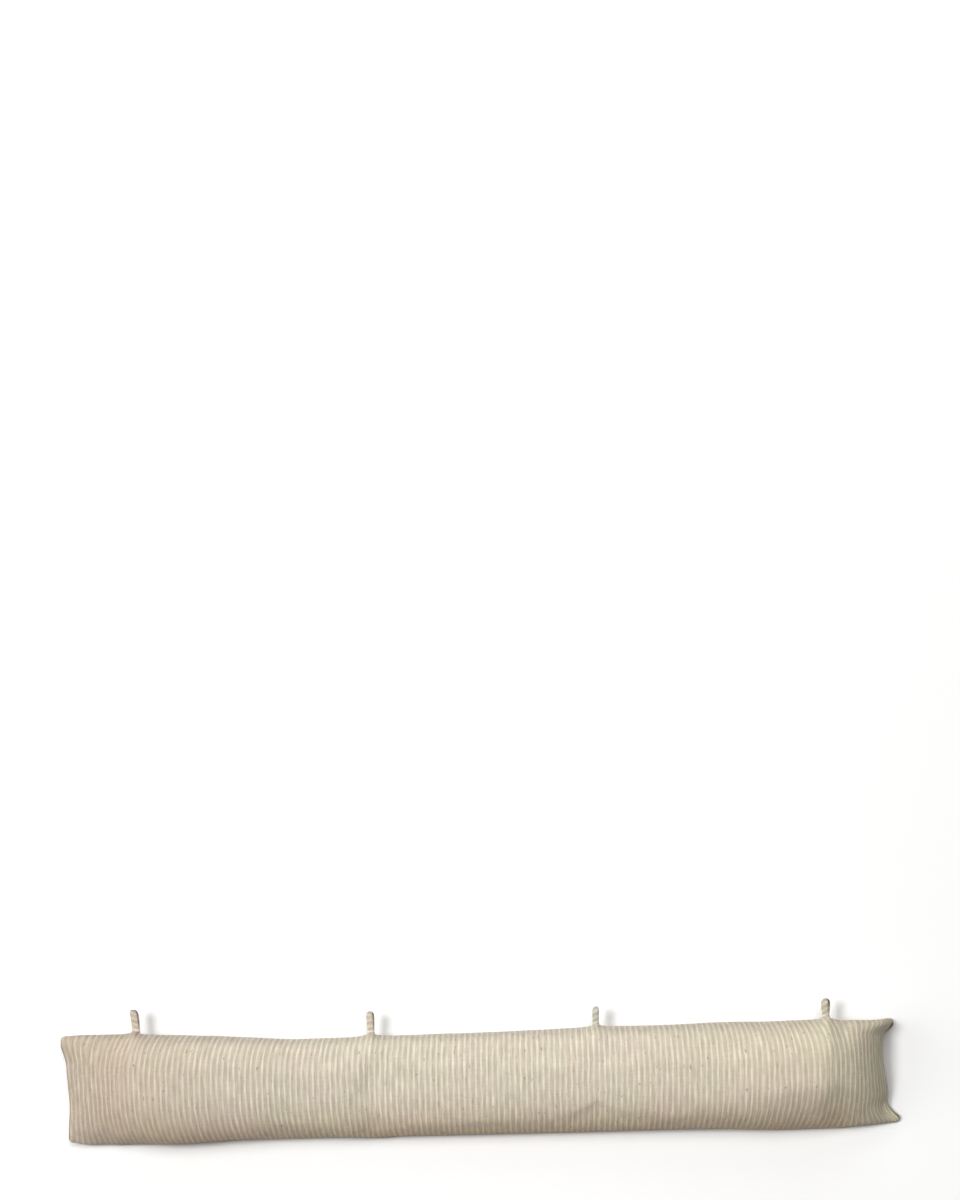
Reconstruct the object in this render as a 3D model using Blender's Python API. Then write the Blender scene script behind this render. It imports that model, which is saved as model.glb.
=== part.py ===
# Draught excluder: a long striped cushion that lies on its back, with four short hanging loops.
# X runs along its length, +Y points to the seam that holds the loops and +Z points up.
# The origin is in the middle of the flat patch that it rests on, and every size is in metres.

from collections import namedtuple

import bmesh
import bpy
import numpy as np

Section = namedtuple("Section", "x front back seam crown fullness")
Corner = namedtuple("Corner", "across out")
Loop = namedtuple("Loop", "x reach width")

# The body's sections, from the left end seam to the right one. front and back are the Y of the
# plain fold and of the seam with the loops, seam is the height of that edge over the floor,
# crown is the rise of the top over it, and fullness is the power of the section's superellipse.
SECTIONS = (
    Section(x=-0.445, front=-0.0500, back=0.0585, seam=0.027, crown=0.008, fullness=2.0),
    Section(x=-0.425, front=-0.0550, back=0.0610, seam=0.029, crown=0.017, fullness=2.0),
    Section(x=-0.405, front=-0.0565, back=0.0612, seam=0.031, crown=0.025, fullness=2.1),
    Section(x=-0.378, front=-0.0580, back=0.0602, seam=0.033, crown=0.037, fullness=2.2),
    Section(x=-0.345, front=-0.0585, back=0.0588, seam=0.034, crown=0.043, fullness=2.3),
    Section(x=-0.260, front=-0.0562, back=0.0552, seam=0.034, crown=0.043, fullness=2.4),
    Section(x=-0.195, front=-0.0557, back=0.0516, seam=0.034, crown=0.036, fullness=2.5),
    Section(x=-0.120, front=-0.0559, back=0.0532, seam=0.033, crown=0.033, fullness=2.6),
    Section(x=0.000, front=-0.0559, back=0.0552, seam=0.033, crown=0.034, fullness=2.6),
    Section(x=0.123, front=-0.0557, back=0.0572, seam=0.034, crown=0.036, fullness=2.5),
    Section(x=0.236, front=-0.0555, back=0.0586, seam=0.034, crown=0.040, fullness=2.4),
    Section(x=0.321, front=-0.0582, back=0.0600, seam=0.035, crown=0.047, fullness=2.2),
    Section(x=0.371, front=-0.0580, back=0.0602, seam=0.035, crown=0.049, fullness=2.1),
    Section(x=0.405, front=-0.0565, back=0.0598, seam=0.034, crown=0.045, fullness=2.1),
    Section(x=0.425, front=-0.0545, back=0.0592, seam=0.033, crown=0.036, fullness=2.0),
    Section(x=0.440, front=-0.0500, back=0.0570, seam=0.032, crown=0.022, fullness=2.0),
)

# How far each end seam stands out past its first or last section, across the body from the
# front corner (-1) to the back corner (+1). The corners stay out as ears where it is drawn in.
LEFT_END = (
    Corner(across=-1.0, out=-0.001),
    Corner(across=-0.8, out=0.0005),
    Corner(across=-0.3, out=-0.0025),
    Corner(across=0.3, out=0.001),
    Corner(across=0.7, out=0.003),
    Corner(across=1.0, out=0.0042),
)
RIGHT_END = (
    Corner(across=-1.0, out=0.007),
    Corner(across=-0.85, out=0.0095),
    Corner(across=-0.5, out=0.000),
    Corner(across=-0.1, out=-0.002),
    Corner(across=0.3, out=-0.004),
    Corner(across=0.6, out=-0.006),
    Corner(across=0.85, out=0.0045),
    Corner(across=1.0, out=0.004),
)
EAR_REACH = 0.030          # length over which an ear fades into the body
LEFT_NOSE = 0.010          # run over which the top rounds up from the left end seam
RIGHT_NOSE = 0.024         # the same at the blunter right end
UNDER_NOSE = 0.055         # run over which the underside comes down to the floor

FLOOR_PRESS = 0.0075       # how far the round underside would reach below the floor
FLOOR_BLEND = 0.0025       # height over which it turns into the flat resting patch

TENT_HEIGHT = 0.0020       # the loops pull the seam out to small points
TENT_REACH = 0.012

# The loops, from left to right: the place along the body, the reach past its seam and the
# width of the folded tape.
LOOPS = (
    Loop(x=-0.371, reach=0.0258, width=0.0090),
    Loop(x=-0.118, reach=0.0249, width=0.0085),
    Loop(x=0.125, reach=0.0207, width=0.0080),
    Loop(x=0.3725, reach=0.0208, width=0.0090),
)
TAPE_THICKNESS = 0.0022
EYE_HEIGHT = 0.0070        # clear height of the eye, at the round tip of the loop
ROOT_SPLIT = 0.0003        # between the two legs where they enter the seam
SEWN_GAP = 0.0003          # between a loop's root and the seam

STATIONS = 100             # steps along the body
HALF_AROUND = 14           # steps over the top, and again along the underside
END_CROWDING = 0.6         # how much closer the steps lie at the ends
CURVE_SAMPLES = 240        # points on a section before it is divided evenly
LEG_STEPS = 8              # steps along each leg of a loop
TIP_STEPS = 12             # steps round its tip
EDGE_ROUNDING = 2          # bevel steps on the tape's rounded edges

CLOTH_COLOUR = (0.571, 0.503, 0.392, 1.0)
LOOP_COLOUR = (0.527, 0.462, 0.361, 1.0)
CLOTH_ROUGHNESS = 0.92


def clear_scene():
    for item in list(bpy.data.objects):
        bpy.data.objects.remove(item, do_unlink=True)


def new_material(name, colour):
    material = bpy.data.materials.new(name)
    material.use_nodes = True
    shader = material.node_tree.nodes["Principled BSDF"]
    shader.inputs["Base Color"].default_value = colour
    shader.inputs["Roughness"].default_value = CLOTH_ROUGHNESS
    shader.inputs["Metallic"].default_value = 0.0
    material.diffuse_color = colour
    return material


# A smooth curve through the knots: cubic pieces whose slope at a knot is that of the line
# between its two neighbours.
def smooth_curve(where, knots, values):
    knots = np.asarray(knots, float)
    values = np.asarray(values, float)
    slopes = np.gradient(values, knots)
    left = np.clip(np.searchsorted(knots, where, side="right") - 1, 0, len(knots) - 2)
    span = knots[left + 1] - knots[left]
    t = np.clip((where - knots[left]) / span, 0.0, 1.0)
    rise = t * t * (3.0 - 2.0 * t)
    from_left = t * (1.0 - t) ** 2 * span * slopes[left]
    from_right = t * t * (t - 1.0) * span * slopes[left + 1]
    return values[left] * (1.0 - rise) + values[left + 1] * rise + from_left + from_right


def column(name, x):
    knots = [section.x for section in SECTIONS]
    return smooth_curve(x, knots, [getattr(section, name) for section in SECTIONS])


# A quarter ellipse: 0 at an end seam, 1 from the end of the run inwards.
def nose(distance, run):
    return np.sqrt(1.0 - (1.0 - np.clip(distance / run, 0.0, 1.0)) ** 2)


# The seam's Y at x: the table's edge, with a small bell-shaped point at each loop.
def back_edge(x):
    tents = sum(np.exp(-(((x - loop.x) / TENT_REACH) ** 2)) for loop in LOOPS)
    return column("back", x) + TENT_HEIGHT * tents


# The height with everything below the floor pressed flat onto it.
def pressed_flat(z):
    blend = (np.clip(z, -FLOOR_BLEND, FLOOR_BLEND) + FLOOR_BLEND) ** 2 / (4.0 * FLOOR_BLEND)
    return np.where(z > FLOOR_BLEND, z, blend)


# The same number of even steps, measured along the line itself.
def evenly_divided(y, z, steps):
    along = np.concatenate([[0.0], np.cumsum(np.hypot(np.diff(y), np.diff(z)))])
    at = np.linspace(0.0, along[-1], steps + 1)
    return np.interp(at, along, y), np.interp(at, along, z)


# One section in the YZ plane: a superellipse from the back seam over the top to the front
# fold, and another from there along the underside, pressed flat where it meets the floor.
def section_ring(x):
    from_left = x - SECTIONS[0].x
    from_right = SECTIONS[-1].x - x
    seam = column("seam", x)
    power = 2.0 / column("fullness", x)
    crown = column("crown", x) * nose(from_left, LEFT_NOSE) * nose(from_right, RIGHT_NOSE)
    under = (seam + FLOOR_PRESS) * nose(from_left, UNDER_NOSE) * nose(from_right, UNDER_NOSE)
    front, back = column("front", x), back_edge(x)
    middle, half = (back + front) / 2.0, (back - front) / 2.0
    angle = np.linspace(0.0, np.pi, CURVE_SAMPLES)
    y = middle + half * np.sign(np.cos(angle)) * np.abs(np.cos(angle)) ** power
    bulge = np.clip(np.sin(angle), 0.0, 1.0) ** power
    top = evenly_divided(y, seam + crown * bulge, HALF_AROUND)
    below = evenly_divided(y[::-1], pressed_flat(seam - under * bulge)[::-1], HALF_AROUND)
    ring_y = np.concatenate([top[0][:-1], below[0][:-1]])
    ring_z = np.concatenate([top[1][:-1], below[1][:-1]])
    across = (ring_y - middle) / half
    return ring_y, ring_z, across


# How far a point moves out with the end seam it lies near, fading over EAR_REACH.
def ear_shift(across, distance, end):
    out = smooth_curve(across, [c.across for c in end], [c.out for c in end])
    return out * np.exp(-((distance / EAR_REACH) ** 2))


def body_stations():
    start, finish = SECTIONS[0].x, SECTIONS[-1].x
    t = np.linspace(-1.0, 1.0, STATIONS + 1)
    crowded = (1.0 - END_CROWDING) * t + END_CROWDING * np.sin(np.pi / 2.0 * t)
    return (start + finish) / 2.0 + (finish - start) / 2.0 * crowded


# The filled body as a loft of its sections. At each end seam the top and the underside meet
# in one line, whose doubled points are merged.
def make_body(material):
    points = []
    for x in body_stations():
        ring_y, ring_z, across = section_ring(x)
        shift = ear_shift(across, SECTIONS[-1].x - x, RIGHT_END)
        shift = shift - ear_shift(across, x - SECTIONS[0].x, LEFT_END)
        points.append(np.stack([x + shift, ring_y, ring_z], axis=1))
    around = 2 * HALF_AROUND
    first = (np.arange(STATIONS) * around)[:, None]
    here, after = np.arange(around), (np.arange(around) + 1) % around
    quads = np.stack(np.broadcast_arrays(
        first + here, first + after, first + around + after, first + around + here
    ), axis=-1).reshape(-1, 4)
    mesh = bpy.data.meshes.new("filled_body")
    mesh.from_pydata(np.concatenate(points).tolist(), [], quads.tolist())
    weld_and_orient(mesh)
    mesh.materials.append(material)
    mesh.shade_smooth()
    return bpy.data.objects.new("filled_body", mesh)


def weld_and_orient(mesh):
    edit = bmesh.new()
    edit.from_mesh(mesh)
    bmesh.ops.remove_doubles(edit, verts=edit.verts, dist=0.00002)
    bmesh.ops.dissolve_degenerate(edit, edges=edit.edges, dist=0.00002)
    bmesh.ops.recalc_face_normals(edit, faces=edit.faces)
    edit.to_mesh(mesh)
    edit.free()


# The middle line of a loop's tape, out from the seam, round the tip and back: two legs that
# part along an S-shaped ramp, and a half circle between them.
def loop_path(reach):
    radius = (EYE_HEIGHT + TAPE_THICKNESS) / 2.0
    half_root = (TAPE_THICKNESS + ROOT_SPLIT) / 2.0
    leg_length = reach - SEWN_GAP - TAPE_THICKNESS / 2.0 - radius
    t = np.linspace(0.0, 1.0, LEG_STEPS, endpoint=False)
    leg_out = leg_length * t
    leg_up = half_root + (radius - half_root) * t * t * (3.0 - 2.0 * t)
    angle = np.linspace(np.pi / 2.0, -np.pi / 2.0, TIP_STEPS + 1)
    out = np.concatenate([leg_out, leg_length + radius * np.cos(angle), leg_out[::-1]])
    up = np.concatenate([leg_up, radius * np.sin(angle), -leg_up[::-1]])
    return out, up


# A loop is one tape with rounded edges: a curve in the YZ plane, widened along X.
def make_loop(number, loop, material):
    name = f"loop_{number}"
    out, up = loop_path(loop.reach)
    curve = bpy.data.curves.new(name, "CURVE")
    curve.dimensions = "3D"
    curve.twist_mode = "Z_UP"
    curve.extrude = (loop.width - TAPE_THICKNESS) / 2.0
    curve.bevel_depth = TAPE_THICKNESS / 2.0
    curve.bevel_resolution = EDGE_ROUNDING
    curve.use_fill_caps = True
    spline = curve.splines.new("POLY")
    spline.points.add(len(out) - 1)
    flat = np.stack([out, up, np.zeros_like(out), np.ones_like(out)], axis=1)
    spline.points.foreach_set("co", flat.ravel())
    curve.materials.append(material)
    piece = bpy.data.objects.new(name, curve)
    root = back_edge(np.array([loop.x]))[0] + SEWN_GAP
    piece.location = (loop.x, root, column("seam", np.array([loop.x]))[0])
    # The curve's own X, Y and Z become the model's Y, Z and X.
    piece.rotation_euler = (np.pi / 2.0, 0.0, np.pi / 2.0)
    return piece


def build():
    clear_scene()
    parts = bpy.data.collections.new("draught_excluder")
    bpy.context.scene.collection.children.link(parts)
    cloth = new_material("striped_cloth", CLOTH_COLOUR)
    tape = new_material("loop_cloth", LOOP_COLOUR)
    pieces = [make_body(cloth)]
    for number, loop in enumerate(LOOPS, start=1):
        pieces.append(make_loop(number, loop, tape))
    for piece in pieces:
        parts.objects.link(piece)


build()
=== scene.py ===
import math

import bmesh
import bpy
import numpy as np
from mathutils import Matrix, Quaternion, Vector


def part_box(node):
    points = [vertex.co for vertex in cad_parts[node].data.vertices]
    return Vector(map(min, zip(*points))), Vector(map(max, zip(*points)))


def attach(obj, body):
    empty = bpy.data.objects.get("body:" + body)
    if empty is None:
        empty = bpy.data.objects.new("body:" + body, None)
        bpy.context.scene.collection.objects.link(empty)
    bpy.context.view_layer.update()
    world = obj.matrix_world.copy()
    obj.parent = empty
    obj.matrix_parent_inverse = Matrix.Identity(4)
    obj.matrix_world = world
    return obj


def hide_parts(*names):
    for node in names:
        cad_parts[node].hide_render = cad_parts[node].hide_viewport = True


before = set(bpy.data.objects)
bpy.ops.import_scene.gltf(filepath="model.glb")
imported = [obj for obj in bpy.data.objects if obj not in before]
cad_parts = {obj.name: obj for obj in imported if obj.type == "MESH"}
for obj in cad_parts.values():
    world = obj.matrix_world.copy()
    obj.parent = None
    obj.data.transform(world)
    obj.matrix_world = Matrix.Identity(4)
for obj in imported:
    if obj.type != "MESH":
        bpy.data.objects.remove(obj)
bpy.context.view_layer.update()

# A long striped draught excluder, lying on its back on a pale floor, with four folded-tape loops.
# Everything is in metres in the part's own frame: X along it, +Y to the loops, +Z up.
joinDistance = 0.000005     # corners nearer than this are one
print("frame loaded")


# numbers and curves

def smoothCurve(where, knots, values):
    # cubic pieces through the knots, each knot's slope being that between its two neighbours
    knots, values = np.asarray(knots, float), np.asarray(values, float)
    slopes = np.gradient(values, knots)
    left = np.clip(np.searchsorted(knots, where, side="right") - 1, 0, len(knots) - 2)
    span = knots[left + 1] - knots[left]
    t = np.clip((where - knots[left]) / span, 0.0, 1.0)
    rise = t * t * (3.0 - 2.0 * t)
    bend = t * (1.0 - t) * span * ((1.0 - t) * slopes[left] - t * slopes[left + 1])
    return values[left] * (1.0 - rise) + values[left + 1] * rise + bend


def smoothRise(t):
    # 0 below 0, 1 above 1, and 3 t squared less 2 t cubed between them
    t = np.clip(t, 0.0, 1.0)
    return t * t * (3.0 - 2.0 * t)


def bell(distance, reach):
    # 1 at the middle, fading as exp(-(distance / reach) squared)
    return np.exp(-((distance / reach) ** 2))


def quarterRound(distance, run):
    # quarter of an ellipse: 0 at the seam, 1 from the end of the run inwards
    return np.sqrt(1.0 - (1.0 - np.clip(distance / run, 0.0, 1.0)) ** 2)


def evenlyDivided(y, z, steps):
    # each row's line cut into even steps along itself, all the rows at once
    along = np.cumsum(np.hypot(np.diff(y, axis=1), np.diff(z, axis=1)), axis=1)
    along = np.concatenate([np.zeros((len(y), 1)), along], axis=1)
    row = 2.0 * np.arange(len(y))[:, None]
    known = (along / along[:, -1:] + row).ravel()
    at = np.linspace(0.0, 1.0, steps + 1)[None, :] + row
    return np.interp(at, known, y.ravel()), np.interp(at, known, z.ravel())


def tubeFaces(rows, columns):
    # quads of a grid that is closed around, wound so that they face outwards
    row, here = np.arange(rows - 1)[:, None] * columns, np.arange(columns)
    after = (here + 1) % columns
    corners = (row + here, row + after, row + columns + after, row + columns + here)
    return np.stack(np.broadcast_arrays(*corners), axis=-1).reshape(-1, 4)


def cornerMap(u, v):
    # the map's place at each quad's four corners, in the order of tubeFaces
    u, v = np.broadcast_arrays(u, v)
    row, here = np.arange(u.shape[0] - 1)[:, None], np.arange(u.shape[1] - 1)[None, :]
    corners = ((row, here), (row, here + 1), (row + 1, here + 1), (row + 1, here))
    return np.stack([np.stack([u[at], v[at]], axis=-1) for at in corners], axis=2).reshape(-1, 2)


def newObject(name, points, faces, uv=None):
    # a smooth-shaded mesh of those points and faces, with the cloth's map if there is one
    mesh = bpy.data.meshes.new(name)
    mesh.from_pydata(points.reshape(-1, 3).tolist(), [], faces.tolist())
    if uv is not None:
        layer = mesh.uv_layers.new(name="cloth")
        layer.data.foreach_set("uv", np.ascontiguousarray(uv, np.float32).ravel())
    mesh.shade_smooth()
    piece = bpy.data.objects.new(name, mesh)
    bpy.context.scene.collection.objects.link(piece)
    return piece


def closeMesh(piece):
    # corners in one place are joined, an open end gets its one face, and all faces look outwards
    edit = bmesh.new()
    edit.from_mesh(piece.data)
    bmesh.ops.remove_doubles(edit, verts=edit.verts, dist=joinDistance)
    rims = [edge for edge in edit.edges if edge.is_boundary]
    bmesh.ops.holes_fill(edit, edges=rims)
    bmesh.ops.recalc_face_normals(edit, faces=edit.faces)
    if edit.calc_volume(signed=True) < 0.0:
        bmesh.ops.reverse_faces(edit, faces=edit.faces)
    edit.to_mesh(piece.data)
    edit.free()


# materials

def linear(hexColour, alpha=1.0):
    # sRGB hex to linear
    parts = [int(hexColour[i:i + 2], 16) / 255.0 for i in (1, 3, 5)]
    return [c / 12.92 if c <= 0.04045 else ((c + 0.055) / 1.055) ** 2.4 for c in parts] + [alpha]


def addNode(tree, kind, inputs=None, **settings):
    # one node with its settings; an input is a value, or the socket that it is linked from
    made = tree.nodes.new(kind)
    for key, value in settings.items():
        setattr(made, key, value)
    for key, value in (inputs or {}).items():
        if isinstance(value, bpy.types.NodeSocket):
            tree.links.new(value, made.inputs[key])
        else:
            made.inputs[key].default_value = value
    return made


stripedLinen = {
    "ground": "#C5BDAF",        # undyed beige linen yarn
    "stripe": "#D5CFC2",        # cream cotton yarn
    "slub": "#8F8470",          # thick darker places in the linen yarn
    "pitchMm": 6.0,             # from one stripe to the next
    "stripeShare": 0.40,        # share of the pitch that is cream
    "stripeSoftness": 0.22,     # share of the pitch over which a stripe's edge fades
    "stripeSwell": 0.07,        # how unevenly wide the stripes are, as a share of the pitch
    "stripeFading": 0.34,       # how unevenly strong they are
    "waverMm": 0.7,             # how far a stripe wanders sideways
    "slant": 0.0,               # how far it runs sideways for each millimetre along
    # each soft noise's size across the stripes and along them, in millimetres, and its detail
    "noises": {
        "waver": (16.67, 28.57, 2.0),
        "width": (6.25, 20.0, 3.0),
        "fading": (6.67, 33.3, 2.0),
        "yarnAlong": (2.0, 16.0, 3.0),      # the lighter and darker stretches of yarn
        "yarnAcross": (16.0, 2.0, 3.0),
        "slubs": (3.7, 6.67, 2.0),
        "hue": (70.0, 70.0, 3.0),
    },
    "fadingSpan": (0.25, 0.75),         # the values of these noises that use their full depth
    "yarnSpan": (0.3, 0.7),
    "hueSpan": (0.35, 0.65),
    "streaks": 0.15,            # depth of the yarn's light and dark
    "acrossShare": 0.25,        # how much of it runs across the stripes
    "slubSpan": (0.655, 0.755),         # of its noise, from no slub to a full one
    "slubAmount": 0.58,
    # the cloth's tint from the left end to the right one, darker towards the left end as painted shade and
    # with a faint hue along the rest: place from 0 to 1, colour
    "tints": ((0.0, "#E8E2E0"), (0.06, "#ECE6E4"), (0.10, "#F2EEED"), (0.2, "#FCFAFB"),
              (0.3, "#FFFFFF"), (0.65, "#FFFFFF"), (0.85, "#FCFAF8"), (0.93, "#FFFEFA"),
              (1.0, "#FFFFF6")),
    "tintSpanMm": (-460.0, 460.0),      # those two places on the map
    "hues": ("#FFFDFE", "#FDFFFC"),     # the cloth drifts between these two tints
    "foldAtMm": 150.0,          # the plain fold opposite the seam, where the cloth turns under, is painted warmer and darker as shade
    "foldShadeReachMm": 72.0,
    "foldShadeTint": "#FFF1E3",
    "foldShadeEnds": ((0.02, 0.13, 0.0), (0.90, 0.98, 1.0)),     # where that fades in and out again
    "seamMm": 1.3,              # painted shade sits this wide in a seam's crease, and 0 gives none
    "seamShadeTint": "#D8CFC0",
    "halfLengthMm": 0.0,        # from the middle of the map to an end seam
    "threadMm": 1.1,            # a real thread is about 0.5 mm, too fine to show, so drawn coarser
    "reliefMm": 0.5,            # the relief's unit, in which the next three heights are
    "stripeHeight": 0.9,
    "slubHeight": 1.4,
    "threadHeight": 0.35,
    "reliefStrength": 0.55,
    "roughness": (0.93, 0.85),          # of the linen and of the smoother cotton stripes
    "ior": 1.5,
    "gloss": 0.25,              # half of a smooth plastic's
    "sheen": 0.12,              # the fuzz of loose fibres
    "sheenRoughness": 0.5,
}


def stripeMask(tree, u, v, noise, look):
    # 1 on a stripe and 0 between: how near u, with slant and waver, is to the middle of its pitch
    waver = addNode(tree, "ShaderNodeMapRange", {
        "Value": noise["waver"], "To Min": -look["waverMm"], "To Max": look["waverMm"]})
    slanted = addNode(tree, "ShaderNodeMath", {0: v, 1: look["slant"], 2: u}, operation="MULTIPLY_ADD")
    shifted = addNode(tree, "ShaderNodeMath", {
        0: slanted.outputs[0], 1: waver.outputs[0]}, operation="ADD")
    turns = addNode(tree, "ShaderNodeMath", {
        0: shifted.outputs[0], 1: look["pitchMm"]}, operation="DIVIDE")
    phase = addNode(tree, "ShaderNodeMath", {0: turns.outputs[0]}, operation="FRACT")
    middle = addNode(tree, "ShaderNodeMath", {0: phase.outputs[0], 1: 0.5}, operation="SUBTRACT")
    away = addNode(tree, "ShaderNodeMath", {0: middle.outputs[0]}, operation="ABSOLUTE")
    swell = addNode(tree, "ShaderNodeMapRange", {
        "Value": noise["width"], "To Min": -look["stripeSwell"], "To Max": look["stripeSwell"]})
    edge = addNode(tree, "ShaderNodeMath", {0: away.outputs[0], 1: swell.outputs[0]}, operation="ADD")
    half, soft = look["stripeShare"] / 2.0, look["stripeSoftness"] / 2.0
    return addNode(tree, "ShaderNodeMapRange", {
        "Value": edge.outputs[0], "From Min": half - soft, "From Max": half + soft,
        "To Min": 1.0, "To Max": 0.0}, interpolation_type="SMOOTHSTEP").outputs[0]


def tintedAndShadedCloth(tree, u, v, noise, plain, look):
    # the plain colour times the map's tints, partly painted shade, the hue's drift, and painted shade at
    # fold and seams
    start, end = look["tintSpanMm"]
    place = addNode(tree, "ShaderNodeMapRange", {"Value": u, "From Min": start, "From Max": end})
    ramp = addNode(tree, "ShaderNodeValToRGB", {0: place.outputs[0]})
    stops = ramp.color_ramp.elements
    for stop, (position, tint) in zip(stops, (look["tints"][0], look["tints"][-1])):
        stop.position, stop.color = position, linear(tint)
    for position, tint in look["tints"][1:-1]:
        stops.new(position).color = linear(tint)
    drift = addNode(tree, "ShaderNodeMapRange", {
        "Value": noise["hue"], "From Min": look["hueSpan"][0], "From Max": look["hueSpan"][1]})
    hue = addNode(tree, "ShaderNodeMix", {
        0: drift.outputs[0], 6: linear(look["hues"][0]), 7: linear(look["hues"][1])}, data_type="RGBA")

    # painted shade: warmer and darker towards the plain fold, where the cloth turns under, fading out
    # towards the ends
    fromFold = addNode(tree, "ShaderNodeMath", {0: v, 1: look["foldAtMm"]}, operation="SUBTRACT")
    besideFold = addNode(tree, "ShaderNodeMath", {0: fromFold.outputs[0]}, operation="ABSOLUTE")
    foldShadeMask = addNode(tree, "ShaderNodeMapRange", {
        "Value": besideFold.outputs[0], "From Max": look["foldShadeReachMm"],
        "To Min": 1.0, "To Max": 0.0}, interpolation_type="SMOOTHSTEP")
    for start, stop, low in look["foldShadeEnds"]:
        inside = addNode(tree, "ShaderNodeMapRange", {
            "Value": place.outputs[0], "From Min": start, "From Max": stop,
            "To Min": low, "To Max": 1.0 - low}, interpolation_type="SMOOTHSTEP")
        foldShadeMask = addNode(tree, "ShaderNodeMath", {
            0: foldShadeMask.outputs[0], 1: inside.outputs[0]}, operation="MULTIPLY")

    tints = [(1.0, ramp.outputs[0]), (1.0, hue.outputs[2])]
    tints.append((foldShadeMask.outputs[0], linear(look["foldShadeTint"])))
    # painted shade darkens the crease along each seam
    if look["seamMm"]:
        fromSeam = addNode(tree, "ShaderNodeMath", {
            0: besideFold.outputs[0], 1: look["foldAtMm"] - look["seamMm"]}, operation="SUBTRACT")
        fromMiddle = addNode(tree, "ShaderNodeMath", {0: u}, operation="ABSOLUTE")
        fromEnd = addNode(tree, "ShaderNodeMath", {
            0: fromMiddle.outputs[0], 1: look["halfLengthMm"] - look["seamMm"]}, operation="SUBTRACT")
        nearer = addNode(tree, "ShaderNodeMath", {
            0: fromSeam.outputs[0], 1: fromEnd.outputs[0]}, operation="MAXIMUM")
        seamShadeMask = addNode(tree, "ShaderNodeMapRange", {
            "Value": nearer.outputs[0], "From Max": look["seamMm"]}, interpolation_type="SMOOTHSTEP")
        tints.append((seamShadeMask.outputs[0], linear(look["seamShadeTint"])))
    colour = plain
    for amount, tint in tints:
        colour = addNode(tree, "ShaderNodeMix", {
            0: amount, 6: colour, 7: tint}, data_type="RGBA", blend_type="MULTIPLY").outputs[2]
    return colour


def clothRelief(tree, mm, stripe, slub, yarns, look):
    # the product of two sines, which is threads over and under each other, and the stripes, the
    # slubs and the uneven yarn added to it at their heights
    threadAt = addNode(tree, "ShaderNodeVectorMath", {
        0: mm, 3: math.pi / look["threadMm"]}, operation="SCALE")
    threads = addNode(tree, "ShaderNodeSeparateXYZ", {0: threadAt.outputs[0]})
    overU = addNode(tree, "ShaderNodeMath", {0: threads.outputs[0]}, operation="SINE")
    overV = addNode(tree, "ShaderNodeMath", {0: threads.outputs[1]}, operation="SINE")
    weave = addNode(tree, "ShaderNodeMath", {
        0: overU.outputs[0], 1: overV.outputs[0]}, operation="MULTIPLY")
    height = yarns
    layers = ((stripe, "stripeHeight"), (slub, "slubHeight"), (weave.outputs[0], "threadHeight"))
    for layer, share in layers:
        height = addNode(tree, "ShaderNodeMath", {
            0: layer, 1: look[share], 2: height}, operation="MULTIPLY_ADD").outputs[0]
    return addNode(tree, "ShaderNodeBump", {
        "Height": height, "Strength": look["reliefStrength"],
        "Distance": look["reliefMm"] / 1000.0}).outputs[0]


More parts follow.
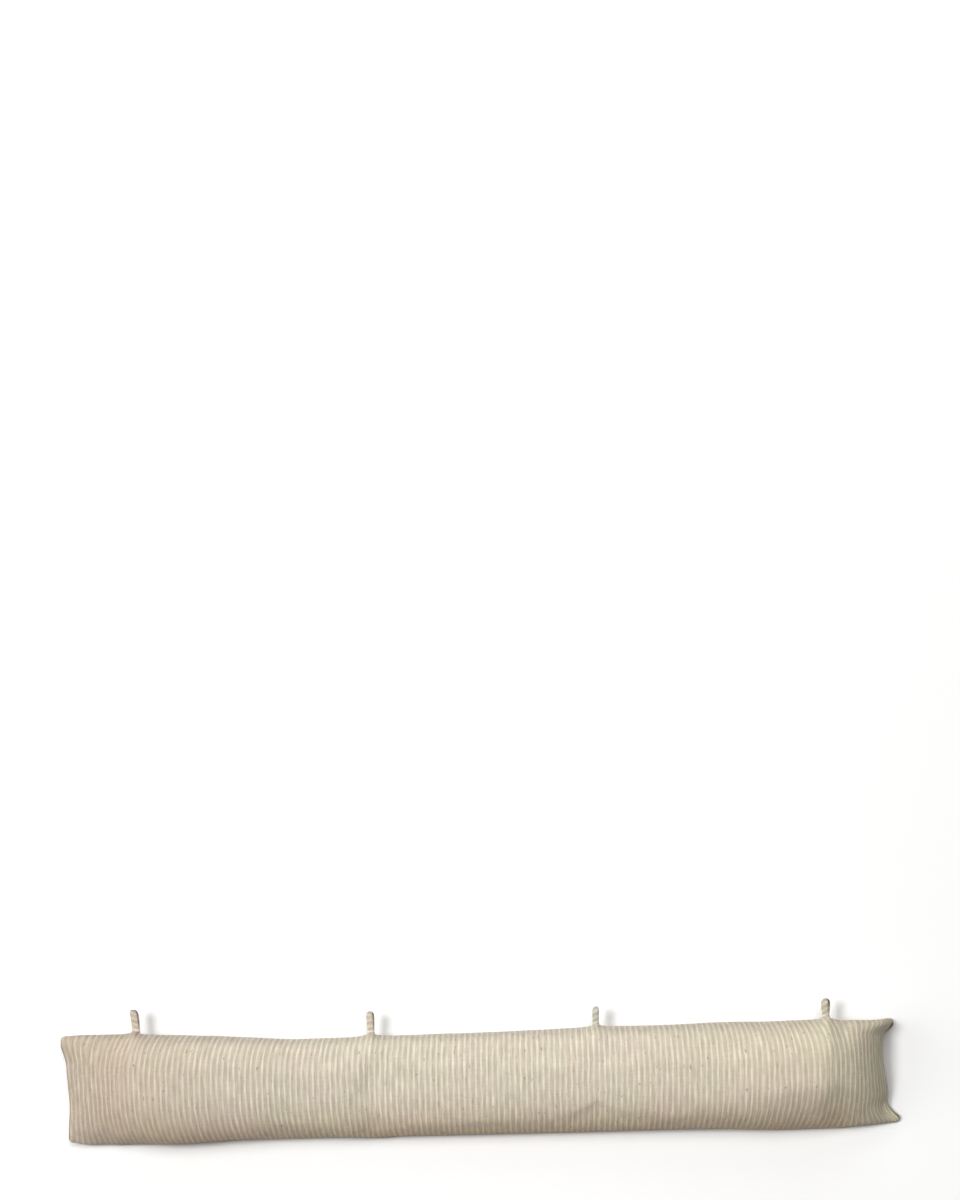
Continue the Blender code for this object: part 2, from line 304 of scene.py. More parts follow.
def clothMaterial(name, look):
    # linen and cotton union cloth, plain woven: matt, faintly fuzzy, thin raised cream stripes,
    # uneven yarn with darker slubs; the map is in metres, u across the stripes and v along them
    material = bpy.data.materials.new(name)
    material.use_nodes = True
    tree = material.node_tree
    tree.nodes.clear()
    uv = addNode(tree, "ShaderNodeUVMap", uv_map="cloth").outputs["UV"]
    mm = addNode(tree, "ShaderNodeVectorMath", {0: uv, 3: 1000.0}, operation="SCALE").outputs[0]
    split = addNode(tree, "ShaderNodeSeparateXYZ", {0: mm})
    u, v = split.outputs[0], split.outputs[1]
    noise = {}
    for pattern, (across, along, detail) in look["noises"].items():
        sized = addNode(tree, "ShaderNodeVectorMath", {
            0: mm, 1: (across, along, 1.0)}, operation="DIVIDE")
        noise[pattern] = addNode(tree, "ShaderNodeTexNoise", {
            "Vector": sized.outputs[0], "Scale": 1.0, "Detail": detail}).outputs[0]

    # the stripes and their uneven strength
    stripe = stripeMask(tree, u, v, noise, look)
    fading = addNode(tree, "ShaderNodeMapRange", {
        "Value": noise["fading"], "From Min": look["fadingSpan"][0], "From Max": look["fadingSpan"][1],
        "To Min": 1.0 - look["stripeFading"], "To Max": 1.0 + look["stripeFading"]}, clamp=False)
    cream = addNode(tree, "ShaderNodeMath", {
        0: stripe, 1: fading.outputs[0]}, operation="MULTIPLY", use_clamp=True)
    plain = addNode(tree, "ShaderNodeMix", {
        0: cream.outputs[0], 6: linear(look["ground"]), 7: linear(look["stripe"])}, data_type="RGBA")
    tintedAndShaded = tintedAndShadedCloth(tree, u, v, noise, plain.outputs[2], look)

    # uneven yarn: stretches along the stripes and fainter ones across them, and the slubs
    yarns = addNode(tree, "ShaderNodeMath", {
        0: noise["yarnAcross"], 1: look["acrossShare"], 2: noise["yarnAlong"]}, operation="MULTIPLY_ADD")
    thinnest, thickest = [value * (1.0 + look["acrossShare"]) for value in look["yarnSpan"]]
    shade = addNode(tree, "ShaderNodeMapRange", {
        "Value": yarns.outputs[0], "From Min": thinnest, "From Max": thickest,
        "To Min": 1.0 - look["streaks"], "To Max": 1.0 + look["streaks"]}, clamp=False)
    slub = addNode(tree, "ShaderNodeMapRange", {
        "Value": noise["slubs"], "From Min": look["slubSpan"][0], "From Max": look["slubSpan"][1],
        "To Max": look["slubAmount"]}, interpolation_type="SMOOTHSTEP")
    shaded = addNode(tree, "ShaderNodeVectorMath", {0: tintedAndShaded, 3: shade.outputs[0]}, operation="SCALE")
    colour = addNode(tree, "ShaderNodeMix", {
        0: slub.outputs[0], 6: shaded.outputs[0], 7: linear(look["slub"])}, data_type="RGBA")

    relief = clothRelief(tree, mm, stripe, slub.outputs[0], yarns.outputs[0], look)
    rough = addNode(tree, "ShaderNodeMapRange", {
        "Value": stripe, "To Min": look["roughness"][0], "To Max": look["roughness"][1]})
    shader = addNode(tree, "ShaderNodeBsdfPrincipled", {
        "Base Color": colour.outputs[2], "Roughness": rough.outputs[0], "Normal": relief,
        "Metallic": 0.0, "IOR": look["ior"], "Specular IOR Level": look["gloss"],
        "Sheen Weight": look["sheen"], "Sheen Roughness": look["sheenRoughness"]})
    addNode(tree, "ShaderNodeOutputMaterial", {"Surface": shader.outputs[0]})
    return material


# the camera: from straight above, at the photograph's scale, with its frame of 960 by 1200

view = {
    "frame": (960.0, 1200.0),
    "middle": (481.0, 1083.5),      # the excluder's middle in the frame, in pixels
    "beneath": 481.0,               # the column that lies straight below the camera
    "axisRow": 960.0,               # the row that the camera's axis meets, which sets the shift
    "tiltDegrees": 1.3,             # how far the excluder's right end is raised in the frame
    "metresPerPixel": 0.001075,     # at the seam's height
    "seamHeight": 0.034,
    "distance": 4.0,                # from that height up to the camera
    "sensorMm": 36.0,
    "rounds": 20,
}


def makeCamera(look):
    # the ray to the point below the camera is turned straight down, then the frame is rolled
    wide, high = look["frame"]
    tilt = math.radians(look["tiltDegrees"])
    beside = look["beneath"] - look["middle"][0]
    belowRow = look["middle"][1] - beside * math.tan(tilt)
    offX, offY = look["beneath"] - wide / 2.0, look["axisRow"] - belowRow
    # the focal length in pixels for that scale where the ray goes straight down, in a few rounds
    focal = look["distance"] / look["metresPerPixel"]
    for _ in range(look["rounds"]):
        focal = look["distance"] / look["metresPerPixel"] * focal / math.hypot(focal, offX, offY)
    down = Vector((offX, offY, -focal)).normalized()
    turn = Quaternion((0.0, 0.0, 1.0), -tilt) @ down.rotation_difference(Vector((0.0, 0.0, -1.0)))
    data = bpy.data.cameras.new("camera")
    data.sensor_width = look["sensorMm"]
    data.lens = focal * data.sensor_width / high
    data.shift_y = (look["axisRow"] - high / 2.0) / high
    camera = bpy.data.objects.new("camera", data)
    camera.rotation_mode = "QUATERNION"
    camera.rotation_quaternion = turn
    reach = beside * look["metresPerPixel"] / math.cos(tilt)
    camera.location = (reach, 0.0, look["seamHeight"] + look["distance"])
    bpy.context.scene.collection.objects.link(camera)
    bpy.context.scene.camera = camera


makeCamera(view)
print("camera placed")


# the filled body

body = {
    # sections from the left end seam to the right one: x, the Y of the plain fold and of the seam
    # with the loops, the heights of the two, the crown's rise over the line between them, where its
    # ridge lies from the fold (-1) to the seam (1), and how full its two sides are
    "columns": ("x", "front", "back", "fold", "seam", "crown", "ridge", "frontFull", "backFull"),
    "sections": (
        (-0.445, -0.0528, 0.0605, 0.016, 0.027, 0.0079, 0.00, 1.60, 2.8),
        (-0.425, -0.0560, 0.0618, 0.013, 0.029, 0.0191, 0.00, 1.60, 3.3),
        (-0.405, -0.0570, 0.0616, 0.011, 0.031, 0.0311, 0.00, 1.70, 3.7),
        (-0.385, -0.0578, 0.0608, 0.010, 0.033, 0.0431, 0.00, 1.90, 3.9),
        (-0.365, -0.0583, 0.0597, 0.009, 0.034, 0.0531, 0.00, 2.10, 4.0),
        (-0.345, -0.0585, 0.0588, 0.009, 0.034, 0.0561, 0.00, 2.40, 4.1),
        (-0.260, -0.0562, 0.0552, 0.009, 0.034, 0.0551, 0.00, 2.60, 4.1),
        (-0.195, -0.0557, 0.0512, 0.009, 0.034, 0.0481, 0.00, 2.50, 4.2),
        (-0.120, -0.0559, 0.0525, 0.009, 0.033, 0.0451, 0.00, 2.50, 4.0),
        (0.000, -0.0559, 0.0543, 0.009, 0.033, 0.0461, 0.00, 2.60, 3.5),
        (0.123, -0.0557, 0.0567, 0.009, 0.034, 0.0481, 0.00, 2.60, 3.4),
        (0.200, -0.0553, 0.0577, 0.009, 0.034, 0.0511, 0.00, 2.70, 3.5),
        (0.260, -0.0560, 0.0596, 0.009, 0.034, 0.0548, -0.08, 2.50, 3.0),
        (0.321, -0.0582, 0.0591, 0.009, 0.035, 0.0610, -0.20, 1.80, 3.1),
        (0.345, -0.0580, 0.0596, 0.009, 0.035, 0.0620, -0.20, 1.65, 3.2),
        (0.371, -0.0577, 0.0593, 0.009, 0.035, 0.0610, -0.20, 1.55, 3.2),
        (0.385, -0.0572, 0.0587, 0.009, 0.035, 0.0550, -0.18, 1.50, 3.1),
        (0.404, -0.0556, 0.0590, 0.010, 0.034, 0.0458, -0.12, 1.70, 3.0),
        (0.421, -0.0532, 0.0590, 0.009, 0.027, 0.0350, -0.08, 1.90, 2.8),
        (0.431, -0.0522, 0.0602, 0.008, 0.020, 0.0260, -0.04, 1.70, 2.6),
        (0.440, -0.0508, 0.0612, 0.006, 0.012, 0.0150, 0.00, 1.30, 2.5),
    ),
    # each end seam's distance out past its last section, from the front corner to the back one
    "leftEnd": ((-1.0, 0.0010), (-0.8, 0.0005), (-0.3, -0.0010), (0.1, 0.0003), (0.32, 0.0011),
                (0.55, 0.0018), (0.7, 0.0040), (0.88, 0.0068), (1.0, 0.0065)),
    "rightEnd": ((-1.0, 0.0122), (-0.95, 0.0110), (-0.90, 0.0080), (-0.85, 0.0052), (-0.75, 0.0010),
                 (-0.65, -0.0006), (-0.5, 0.0003), (-0.1, -0.0018), (0.3, -0.0048), (0.6, -0.0044),
                 (0.72, -0.0037), (0.80, 0.0008), (0.88, 0.0062), (0.94, 0.0082), (1.0, 0.0074)),
    "droopFrom": (0.433, 0.55),         # the upper right ear rolls over from this X and this share
    "droopOver": (0.014, 0.30),         # within these
    "droop": 0.014,             # this far down
    "droopKeep": 0.3,           # but keeps this share of its height
    "earReach": 0.030,          # how far in from an end its outline is felt
    "cornerRound": 0.0035,      # radius of the four corners, seen from above
    "endTwist": 0.008,          # how much further out the right end's back keeps its height
    "twistFrom": 0.30,
    "twistOver": 0.08,
    "leftNose": 0.010,          # how far in from an end seam the top is round
    "rightNose": 0.007,
    "underNose": 0.055,         # and the underside
    "underFull": 2.4,           # how full the underside's section is
    "floorPress": 0.0075,       # how far the round underside would reach below the floor
    "floorBlend": 0.0025,       # the parabola between it and the flat patch
    "tentHeight": 0.0052,       # the loops pull the seam out to small points
    "tentReach": 0.0065,
    "tentBlunt": 0.0015,        # roundness of the very tip
    "gather": 0.30,             # and gather the cloth towards them by this share
    "gatherReach": 0.013,       # along the seam
    "gatherDepth": 0.011,       # and across it
    # how far along X a stripe lies at the sides from its place on the crown: place, distance
    "bow": ((-0.445, 0.0), (-0.410, 0.0054), (-0.377, 0.0088), (-0.345, 0.0082), (-0.302, 0.0070),
            (-0.259, 0.0066), (-0.195, 0.0056), (-0.130, 0.0034), (-0.066, 0.0018), (0.0, 0.0010),
            (0.063, 0.0004), (0.128, -0.0005), (0.192, -0.0015), (0.257, -0.0030), (0.321, -0.0065),
            (0.364, -0.0080), (0.397, -0.0040), (0.418, -0.0013), (0.440, 0.0)),
    "bowPower": 2.9,            # how late they turn aside on their way to the sides
    "bowBehind": 1.35,          # how much further they do so on the seam's side
    "loopShift": (0.0014, 0.0008, -0.0003, -0.0003),    # of each loop, in X, from its plain solid
    "rows": 481,                # along the cushion
    "around": 160,              # of columns, half over the top and half along the underside
    "crowding": 0.5,            # how much closer together the rows come towards the ends
    "sectionSteps": 361,        # of each half section, before it is evenly divided
    "crownSteps": 2000,         # of the crown's line, where its length is measured
    "girth": 0.300,             # of the flat cover
    "seamSlip": 0.0022,         # how far the underside's stripes miss the top's at the long seam
    "fill": 0.7,                # of the cover, by its filling
}
loopNodes = [f"loop_{number}" for number in (1, 2, 3, 4)]
loopX = [(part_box(node)[0].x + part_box(node)[1].x) / 2.0 + shift
         for node, shift in zip(loopNodes, body["loopShift"])]


def sectionColumn(name, x):
    # one of the sections' values at x, on the smooth curve through all of them
    knots = [row[0] for row in body["sections"]]
    values = [row[body["columns"].index(name)] for row in body["sections"]]
    return smoothCurve(x, knots, values)


def tent(distance):
    # a point with hollow flanks: exp(-distance / reach), blunted at its very tip
    return body["tentHeight"] * np.exp(-np.hypot(distance, body["tentBlunt"]) / body["tentReach"])


def gathered(x, columns):
    # how far the cloth beside the seam is drawn along it, towards each loop
    fromSeam = np.minimum(np.arange(columns), columns - np.arange(columns)) / columns * body["girth"]
    near = np.exp(-fromSeam / body["gatherDepth"])[None, :]
    return -body["gather"] * near * sum(
        (x[:, None] - at) * bell(x[:, None] - at, body["gatherReach"]) for at in loopX)


def pressedFlat(z, blend):
    # everything below the floor is pressed onto it, through a short parabola
    low = (np.clip(z, -blend, blend) + blend) ** 2 / (4.0 * blend)
    return np.where(z > blend, z, low)


def bodyStations(rows):
    # from one end to the other: steps of a straight line mixed with those of a sine's rise
    start, finish = body["sections"][0][0], body["sections"][-1][0]
    t = np.linspace(-1.0, 1.0, rows)
    crowded = (1.0 - body["crowding"]) * t + body["crowding"] * np.sin(np.pi / 2.0 * t)
    return (start + finish) / 2.0 + (finish - start) / 2.0 * crowded


def twistedCrown(x, across, crown):
    # the right end's back keeps its height further out than its front
    knots = [row[0] for row in body["sections"]]
    crowns = [row[body["columns"].index("crown")] for row in body["sections"]]
    twisted = smoothCurve(x - body["endTwist"] * across, knots, crowns)
    return crown + (twisted - crown) * smoothRise((x - body["twistFrom"]) / body["twistOver"])


def bodySections(x, around):
    # half a superellipse from the seam to the crown's ridge and another from there to the fold, the
    # same way along the underside, for each x, evenly divided; and each point's share of the width
    fromLeft, fromRight = (x - x[0])[:, None], (x[-1] - x)[:, None]
    col = {name: sectionColumn(name, x)[:, None] for name in body["columns"][1:]}
    corner = body["cornerRound"]
    cut = corner * (2.0 - quarterRound(fromLeft, corner) - quarterRound(fromRight, corner))
    front = col["front"] + cut
    back = col["back"] + sum(tent(x[:, None] - at) for at in loopX) - cut
    middle, half = (back + front) / 2.0, (back - front) / 2.0
    level, slope = (col["fold"] + col["seam"]) / 2.0, (col["seam"] - col["fold"]) / 2.0

    angle = np.linspace(0.0, np.pi, body["sectionSteps"])[None, :]
    cosine, sine = np.cos(angle), np.clip(np.sin(angle), 0.0, 1.0)
    behind = cosine >= 0.0
    power = np.where(behind, 2.0 / col["backFull"], 2.0 / col["frontFull"])
    side = np.where(behind, 1.0 - col["ridge"], -1.0 - col["ridge"])
    across = col["ridge"] + side * np.abs(cosine) ** power
    nose = quarterRound(fromLeft, body["leftNose"]) * quarterRound(fromRight, body["rightNose"])
    crown = twistedCrown(x[:, None], across, col["crown"])
    top = level + slope * across + crown * nose * sine ** power

    lowPower = 2.0 / body["underFull"]
    lowAcross = np.sign(cosine) * np.abs(cosine) ** lowPower
    lowLine = level + slope * lowAcross
    lowNose = quarterRound(fromLeft, body["underNose"]) * quarterRound(fromRight, body["underNose"])
    below = lowLine - (lowLine + body["floorPress"]) * lowNose * sine ** lowPower
    below = pressedFlat(below, body["floorBlend"])

    topY, topZ = evenlyDivided(middle + half * across, top, around // 2)
    lowY, lowZ = evenlyDivided((middle + half * lowAcross)[:, ::-1], below[:, ::-1], around // 2)
    gridY = np.concatenate([topY[:, :-1], lowY[:, :-1]], axis=1)
    gridZ = np.concatenate([topZ[:, :-1], lowZ[:, :-1]], axis=1)
    return gridY, gridZ, np.clip((gridY - middle) / half, -1.0, 1.0)


def bodySurface(x, around):
    # the sections, drawn out along X by each end seam's outline, which fades inwards as a bell, and
    # by the gathers at the loops, with the upper right ear rolled over
    gridY, gridZ, share = bodySections(x, around)
    left = smoothCurve(share, *zip(*body["leftEnd"])) * bell((x - x[0])[:, None], body["earReach"])
    right = smoothCurve(share, *zip(*body["rightEnd"])) * bell((x[-1] - x)[:, None], body["earReach"])
    gridX = x[:, None] - left + right + gathered(x, around)
    rolled = smoothRise((gridX - body["droopFrom"][0]) / body["droopOver"][0])
    rolled = rolled * smoothRise((share - body["droopFrom"][1]) / body["droopOver"][1])
    gridZ = np.maximum(gridZ - body["droop"] * rolled, body["droopKeep"] * gridZ)
    return closeEnds(np.stack([gridX, gridY, gridZ], axis=2))


def clothAlong(where, x):
    # the cloth's own length along the crown, which the stripes follow: steps of x and of the crown
    fine = np.linspace(x[0], x[-1], body["crownSteps"])
    crown = sectionColumn("crown", fine) + (sectionColumn("seam", fine) + sectionColumn("fold", fine)) / 2.0
    length = np.concatenate([[0.0], np.cumsum(np.hypot(np.diff(fine), np.diff(crown)))])
    return np.interp(where, fine, length - length[-1] / 2.0)


def closeEnds(points):
    # top and underside meet in one line at each end seam
    columns = points.shape[1]
    mirrored = (-np.arange(columns)) % columns
    for row in (0, -1):
        points[row] = (points[row] + points[row][mirrored]) / 2.0
    return points


def endsMerged(faces, rows, columns):
    # the two rows of corners at each end seam become one
    where = np.arange(rows * columns)
    for row in (0, rows - 1):
        column = np.arange(columns)
        where[row * columns + column] = row * columns + np.minimum(column, columns - column)
    return where[faces]


sewing = {
    "rows": 241,                # of the coarser copy
    "around": 80,
    "frames": 20,
    "quality": 5,
    "mass": 0.15,               # of the cloth
    "stiffness": 15.0,
    "shear": 5.0,
    "bending": 0.05,
    "ease": 0.02,               # how much larger than its shape the cloth is cut
    "pressure": 4.0,
    "heldBelow": 0.0006,        # the height under which the cloth lies on the floor
    "swelling": (9, 5),         # rows and columns over which what is smooth counts as swelling
    "smoothing": (1, 1),        # and those over which the folds are evened
    "cap": 0.0016,              # the furthest that a fold may move a point
    "share": 0.8,
    "rowsFromEnd": 4.0,         # over which the folds begin, in from an end seam
    "columnsFromSeam": 3.0,     # from the long seam
    "riseFromFloor": 0.004,     # and up from the floor
}


def pulledCloth(points):
    # a coarser copy, a little too large for its filling, is blown up by Blender's cloth solver with
    # its seams and its flat underside held, and how far each of its points moved is given back
    rows, columns = points.shape[:2]
    faces = endsMerged(tubeFaces(rows, columns), rows, columns)
    piece = newObject("cloth_trial", points, faces)
    flat = points.reshape(-1, 3)
    held = np.zeros(len(flat))
    grid = held.reshape(rows, columns)
    grid[0], grid[-1], grid[:, 0] = 1.0, 1.0, 1.0
    held[flat[:, 2] < sewing["heldBelow"]] = 1.0
    group = piece.vertex_groups.new(name="held")
    group.add(np.flatnonzero(held > 0.5).tolist(), 1.0, "REPLACE")
    cloth = piece.modifiers.new("cloth", "CLOTH")
    cloth.settings.quality = sewing["quality"]
    cloth.settings.mass = sewing["mass"]
    cloth.settings.tension_stiffness = sewing["stiffness"]
    cloth.settings.compression_stiffness = sewing["stiffness"]
    cloth.settings.shear_stiffness = sewing["shear"]
    cloth.settings.bending_stiffness = sewing["bending"]
    cloth.settings.shrink_min = -sewing["ease"]
    cloth.settings.use_pressure = True
    cloth.settings.uniform_pressure_force = sewing["pressure"]
    cloth.settings.effector_weights.gravity = 0.0
    cloth.settings.vertex_group_mass = "held"
    cloth.settings.pin_stiffness = 1.0
    cloth.collision_settings.use_collision = False
    cloth.collision_settings.use_self_collision = False
    scene = bpy.context.scene
    for frameNumber in range(1, sewing["frames"] + 1):
        scene.frame_set(frameNumber)
    shaped = piece.evaluated_get(bpy.context.evaluated_depsgraph_get()).to_mesh()
    after = np.empty(len(shaped.vertices) * 3)
    shaped.vertices.foreach_get("co", after)
    bpy.data.objects.remove(piece, do_unlink=True)
    scene.frame_set(1)
    moved = (after.reshape(-1, 3) - flat).reshape(rows, columns, 3)
    for row in (0, rows - 1):
        moved[row] = 0.0
    return moved


def softened(field, along, around):
    # running means over the grid, open along it and closed around it, three times
    for _ in range(3):
        padded = np.concatenate([np.repeat(field[:1], along, 0), field, np.repeat(field[-1:], along, 0)])
        total = np.cumsum(np.concatenate([np.zeros_like(padded[:1]), padded]), axis=0)
        field = (total[2 * along + 1:] - total[:-2 * along - 1]) / (2 * along + 1)
        padded = np.concatenate([field[:, -around:], field, field[:, :around]], axis=1)
        total = np.cumsum(np.concatenate([np.zeros_like(padded[:, :1]), padded], axis=1), axis=1)
        field = (total[:, 2 * around + 1:] - total[:, :-2 * around - 1]) / (2 * around + 1)
    return field


def refined(field, x, columns, fineX, fineColumns):
    # each line of the coarse grid is joined by straight steps onto the fine one
    wide = np.concatenate([field, field[:, :1]], axis=1)
    at = np.arange(fineColumns) * columns / fineColumns
    low = np.floor(at).astype(int)
    part = (at - low)[None, :, None]
    wide = wide[:, low] * (1.0 - part) + wide[:, low + 1] * part
    row = np.clip(np.searchsorted(x, fineX, side="right") - 1, 0, len(x) - 2)
    part = ((fineX - x[row]) / (x[row + 1] - x[row]))[:, None, None]
    return wide[row] * (1.0 - part) + wide[row + 1] * part


def addPulls(points, fineX):
    # the fine folds that the solver found, capped, without the swelling, which is already there
    x = bodyStations(sewing["rows"])
    moved = pulledCloth(bodySurface(x, sewing["around"]))
    print("cloth moved up to", round(float(np.abs(moved).max()) * 1000.0, 2), "mm")
    folds = softened(moved - softened(moved, *sewing["swelling"]), *sewing["smoothing"])
    size = np.linalg.norm(folds, axis=2, keepdims=True)
    print("folds up to", round(float(size.max()) * 1000.0, 2), "mm")
    folds *= sewing["share"] * np.minimum(1.0, sewing["cap"] / np.maximum(size, 1e-9))
    row, column = np.arange(len(x))[:, None], np.arange(sewing["around"])[None, :]
    inwards = np.minimum(row, row[::-1]) / sewing["rowsFromEnd"]
    aside = np.minimum(column, sewing["around"] - column) / sewing["columnsFromSeam"]
    folds *= smoothRise(np.minimum(inwards, aside))[:, :, None]
    fine = refined(folds, x, sewing["around"], fineX, points.shape[1])
    return points + fine * smoothRise(points[:, :, 2:] / sewing["riseFromFloor"])


def bodyMap(x, points):
    # v is the way around from the seam, u the cloth's length along the crown at x less the bow,
    # which grows as a power of the share of the way out to the sides
    columns = points.shape[1]
    v = (np.arange(columns + 1) / columns * body["girth"])[None, :]
    y = np.concatenate([points, points[:, :1]], axis=1)[:, :, 1]
    front, back = sectionColumn("front", x)[:, None], sectionColumn("back", x)[:, None]
    share = np.clip(np.abs(2.0 * y - front - back) / (back - front), 0.0, 1.0)
    bow = smoothCurve(x, *zip(*body["bow"]))[:, None]
    bow = bow * np.where(y > (front + back) / 2.0, body["bowBehind"], 1.0)
    u = clothAlong(x[:, None] - bow * share ** body["bowPower"], x)
    slip = body["seamSlip"] * np.clip(v / body["girth"] * 2.0 - 1.0, 0.0, 1.0) ** 2
    return u + slip, v, float(u[-1].max())


def makeBody():
    # one closed tube of cloth, its end seams' corners joined, that stands for the filled solid
    x = bodyStations(body["rows"])
    points = bodySurface(x, body["around"])
    points = addPulls(points, x)
    u, v, halfLength = bodyMap(x, points)
    piece = newObject("striped_body", points, tubeFaces(*points.shape[:2]), cornerMap(u, v))
    closeMesh(piece)
    look = dict(stripedLinen, halfLengthMm=halfLength * 1000.0)
    piece.data.materials.append(clothMaterial("striped linen union, woven", look))
    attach(piece, "root")
    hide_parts("filled_body")


makeBody()
print("body made")


# the hanging loops

loops = {
    "thickness": 0.0022,        # of the folded tape
    "eyeHeight": 0.0070,        # clear, at the round tip
    "rootSplit": 0.0003,        # between the two legs where they enter the seam
    "rootAt": 0.0030,           # from the middle of the tent, where the tape leaves it
    "pathSteps": 90,            # along a tape
    "legShare": 0.3,            # of them on each leg, and the rest round the tip
    "around": 36,               # columns around a tape
    "edgeFullness": 2.6,        # how square its edges are
    "narrowing": 0.83,          # of its solid's width, as the photograph shows the tapes
    "rootFlare": 0.12,          # how much wider it is at the seam
    "rootReach": 0.0035,
    "tipRound": 0.0050,         # how far in from the tip its sides are round
    "tipMargin": 0.0004,        # by which that round starts past the tip, so that it isn't pointed
    "lean": (-0.0022, -0.0004, 0.0004, 0.0),    # how far each tip lies to one side, in X
    "turn": (6.0, 9.0, 4.0, 20.0),              # degrees about its own length
    "turnFrom": 0.010,                          # from no turn to all of it
    "lift": 0.006,                              # how far each tip rises
    "slant": (0.35, 0.0, -0.3, -0.35),          # of the stripes across each tape
    "tints": ("#F6F4F7", "#FAF8FA", "#F3F8FC", "#F1F4F3"),
    "tipShades": ("#BFC0CB", "#DDE0E8", "#E0E8EE", "#CBD2D5"),   # painted shade: the bend round each tip is greyer
    "tipShadePlaces": (0.36, 0.5, 0.64),     # where a tape's painted shade begins, is full, and ends
}


def roundedPower(wave, fullness):
    # a sine or cosine turned into a superellipse's, whose sides are the squarer the fuller it is
    return np.sign(wave) * np.abs(wave) ** (2.0 / fullness)


def tapePath(length):
    # out along one leg, round the tip and back: two legs that part as a smooth rise, and half a circle
    radius = (loops["eyeHeight"] + loops["thickness"]) / 2.0
    halfRoot = (loops["thickness"] + loops["rootSplit"]) / 2.0
    leg = length - loops["thickness"] / 2.0 - radius
    legSteps = int(loops["pathSteps"] * loops["legShare"])
    t = np.linspace(0.0, 1.0, legSteps, endpoint=False)
    up = halfRoot + (radius - halfRoot) * smoothRise(t)
    angle = np.linspace(np.pi / 2.0, -np.pi / 2.0, loops["pathSteps"] - 2 * legSteps)
    out = np.concatenate([leg * t, leg + radius * np.cos(angle), leg * t[::-1]])
    return out, np.concatenate([up, radius * np.sin(angle), -up[::-1]])


def makeLoop(number, node):
    # a flat superellipse carried along the path, then turned about its length, leaned and lifted
    low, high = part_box(node)
    middleX = loopX[number - 1]
    rootY = float(sectionColumn("back", middleX) + tent(loops["rootAt"]))
    length = high.y - rootY
    out, rise = tapePath(length)
    stepOut, stepUp = np.gradient(out), np.gradient(rise)
    size = np.hypot(stepOut, stepUp)
    angle = np.linspace(0.0, 2.0 * np.pi, loops["around"], endpoint=False)
    side = roundedPower(np.cos(angle), loops["edgeFullness"]) * (high.x - low.x) / 2.0
    face = roundedPower(np.sin(angle), loops["edgeFullness"]) * loops["thickness"] / 2.0
    narrow = loops["narrowing"] * quarterRound(length + loops["tipMargin"] - out, loops["tipRound"])
    narrow = narrow * (1.0 + loops["rootFlare"] * bell(out, loops["rootReach"]))
    beside = side[None, :] * narrow[:, None]
    above = rise[:, None] + face[None, :] * (stepOut / size)[:, None]
    turned = (math.radians(loops["turn"][number - 1]) * smoothRise(out / loops["turnFrom"]))[:, None]
    share = ((out / length) ** 2)[:, None]
    x = middleX + beside * np.cos(turned) - above * np.sin(turned) + loops["lean"][number - 1] * share
    y = rootY + out[:, None] - face[None, :] * (stepUp / size)[:, None]
    z = (low.z + high.z) / 2.0 + beside * np.sin(turned) + above * np.cos(turned) + loops["lift"] * share
    points = np.stack([x, y, z], axis=2)

    # the map: along the tape, and across it from one edge to the other
    along = np.concatenate([[0.0], np.cumsum(np.hypot(np.diff(out), np.diff(rise)))])
    acrossTape = np.append(side, side[0])[None, :]
    piece = newObject(f"hanging_loop_{number}", points, tubeFaces(*points.shape[:2]),
                      cornerMap(along[:, None], acrossTape))
    closeMesh(piece)
    # the bend round each tip is painted greyer, as shade
    tint, tip = loops["tints"][number - 1], loops["tipShades"][number - 1]
    start, middle, end = loops["tipShadePlaces"]
    look = dict(stripedLinen, slant=loops["slant"][number - 1], seamMm=0.0,
                tintSpanMm=(0.0, along[-1] * 1000.0),
                tints=((0.0, tint), (start, tint), (middle, tip), (end, tint), (1.0, tint)))
    piece.data.materials.append(clothMaterial(f"striped linen tape {number}, folded", look))
    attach(piece, "root")
    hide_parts(node)


for number, node in enumerate(loopNodes, start=1):
    makeLoop(number, node)
print("loops made")


# the floor and the light

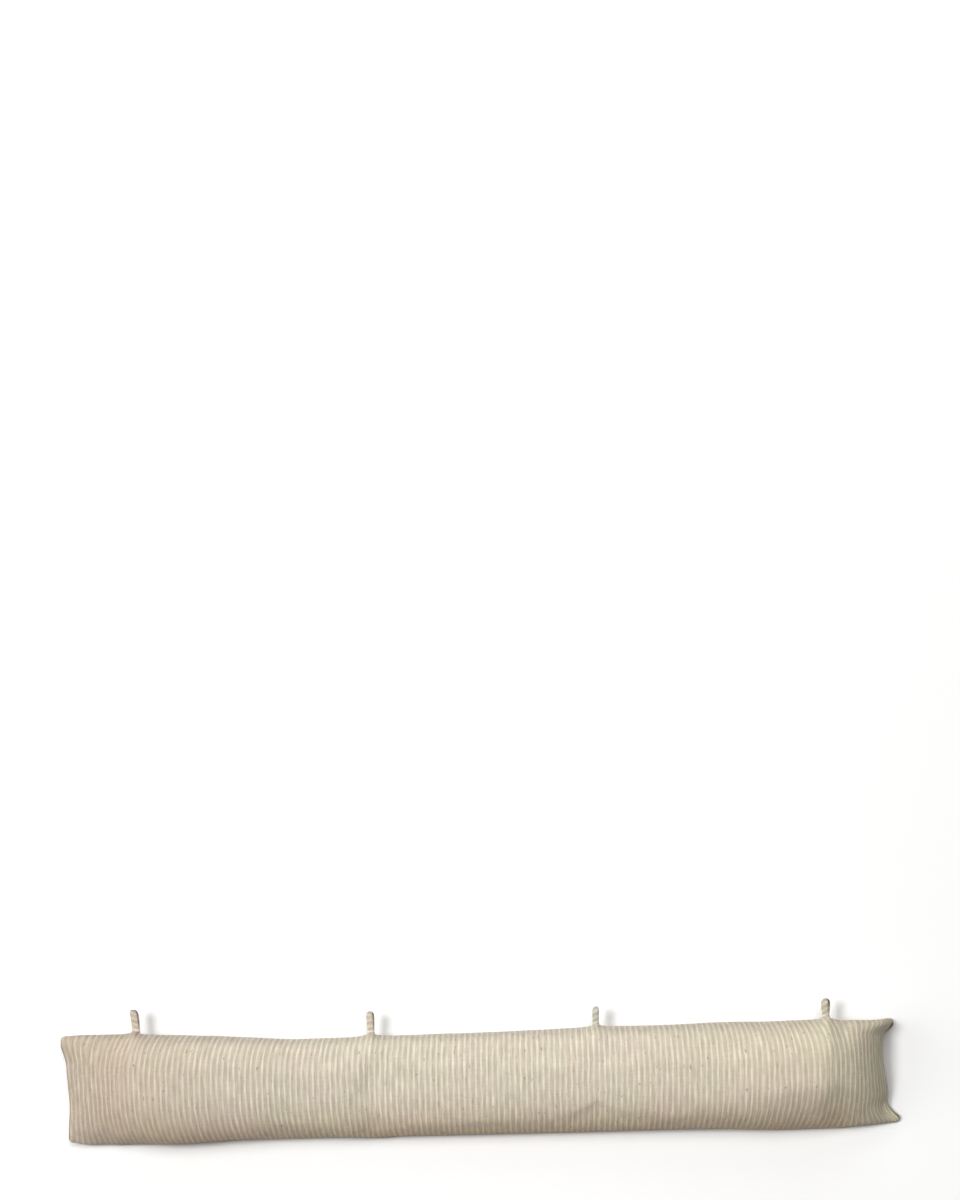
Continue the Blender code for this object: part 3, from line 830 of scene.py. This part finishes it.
studio = {
    "floorColour": "#E5E5E5",
    "floorRoughness": 0.95,
    "floorGloss": 0.1,
    "floorSize": 8.0,
    "floorBelow": 0.0003,       # the cushion's flat patch, so that the two don't flicker
    "ambient": 0.14,            # strength of the light from all around
    "ambientColour": "#FFFDFA",
    "gamma": 0.75,              # of the picture, for a print's contrast
    # each light's name, place, diameter in metres and power in watts; all point at the middle
    "lights": (
        ("key", (-3.20, 0.60, 7.30), 2.3, 380.0),
        ("overhead", (0.3, 2.00, 7.74), 4.0, 290.0),
        ("behind", (0.2, 6.55, 4.59), 5.0, 95.0),
        ("side", (-6.38, 0.6, 4.80), 5.0, 150.0),
    ),
}


def makeStudio(look):
    # a square sheet of floor, round area lights that point at the middle, and an even world
    half = look["floorSize"] / 2.0
    corners = np.array([(-half, -half), (half, -half), (half, half), (-half, half)])
    points = np.concatenate([corners, np.full((4, 1), -look["floorBelow"])], axis=1)
    floor = newObject("floor", points, np.array([[0, 1, 2, 3]]))
    material = bpy.data.materials.new("matt white paper floor")
    material.use_nodes = True
    shader = material.node_tree.nodes["Principled BSDF"]
    shader.inputs["Base Color"].default_value = linear(look["floorColour"])
    shader.inputs["Roughness"].default_value = look["floorRoughness"]
    shader.inputs["Specular IOR Level"].default_value = look["floorGloss"]
    floor.data.materials.append(material)
    for name, place, size, power in look["lights"]:
        data = bpy.data.lights.new(name, "AREA")
        data.shape = "DISK"
        data.size = size
        data.energy = power
        light = bpy.data.objects.new(name, data)
        light.location = place
        light.rotation_mode = "QUATERNION"
        light.rotation_quaternion = Vector(place).to_track_quat("Z", "Y")
        bpy.context.scene.collection.objects.link(light)
    world = bpy.data.worlds.new("studio")
    world.use_nodes = True
    background = world.node_tree.nodes["Background"]
    background.inputs["Color"].default_value = linear(look["ambientColour"])
    background.inputs["Strength"].default_value = look["ambient"]
    bpy.context.scene.world = world
    bpy.context.scene.view_settings.view_transform = "Standard"
    bpy.context.scene.view_settings.gamma = look["gamma"]


makeStudio(studio)
print("studio lit")
